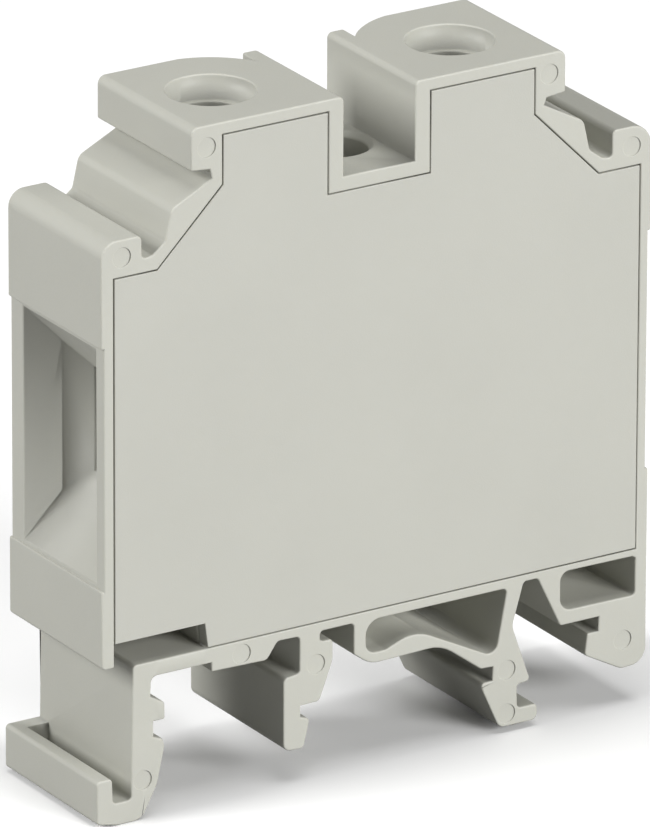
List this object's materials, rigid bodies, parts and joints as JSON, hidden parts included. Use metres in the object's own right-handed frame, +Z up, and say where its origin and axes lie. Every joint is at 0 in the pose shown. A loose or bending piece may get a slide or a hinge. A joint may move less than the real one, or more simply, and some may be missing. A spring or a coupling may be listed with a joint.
{
  "type": "din rail terminal block",
  "caption": "Feed-through screw terminal block with a sprung rail foot, flush side cover, twin wire mouths, screwdriver holes and a jumper channel.",
  "frame": {"origin": "centre of the block's footprint, on the plane under the snap foot", "axes": "+X across the rail, away from the snap foot; +Y along the rail, away from the side cover; +Z up, out of the rail"},
  "size_m": [0.0436, 0.012, 0.0485],
  "materials": {
    "polyamide": "moulded satin",
    "tinned_copper": "tin plated",
    "zinc_steel": "zinc plated"
  },
  "bodies": {
    "housing": {"housing": "polyamide", "current_bar": "tinned_copper"},
    "snap_foot": {"snap_foot": "polyamide"},
    "side_cover": {"side_cover": "polyamide"},
    "clamp_screw_left": {"clamp_screw_left": "zinc_steel"},
    "clamp_screw_right": {"clamp_screw_right": "zinc_steel"},
    "clamp_cage_left": {"clamp_cage_left": "zinc_steel"},
    "clamp_cage_right": {"clamp_cage_right": "zinc_steel"}
  },
  "joints": [
    {"name": "foot_flex", "type": "hinge", "parent": "housing", "child": "snap_foot", "pos_m": [-0.013, 0, 0.0107], "axis": [0, 1, 0], "range_deg": [0, 10], "stiffness_Nm_per_rad": 1.5},
    {"name": "cover_pull", "type": "slide", "parent": "housing", "child": "side_cover", "axis": [0, -1, 0], "range_m": [0, 0.014]},
    {"name": "cage_rise_left", "type": "slide", "parent": "housing", "child": "clamp_cage_left", "axis": [0, 0, 1], "range_m": [0, 0.0062]},
    {"name": "cage_rise_right", "type": "slide", "parent": "housing", "child": "clamp_cage_right", "axis": [0, 0, 1], "range_m": [0, 0.0062]},
    {"name": "screw_turn_left", "type": "hinge", "parent": "housing", "child": "clamp_screw_left", "pos_m": [-0.00945, -0.00028, 0.042], "axis": [0, 0, -1], "range_deg": [0, 2800]},
    {"name": "screw_turn_right", "type": "hinge", "parent": "housing", "child": "clamp_screw_right", "pos_m": [0.0093, -0.00028, 0.042], "axis": [0, 0, -1], "range_deg": [0, 2800]}
  ],
  "couplings": [
    {"joint": "screw_turn_left", "follows": "cage_rise_left", "rad_per_m": 7854},
    {"joint": "screw_turn_right", "follows": "cage_rise_right", "rad_per_m": 7854}
  ]
}
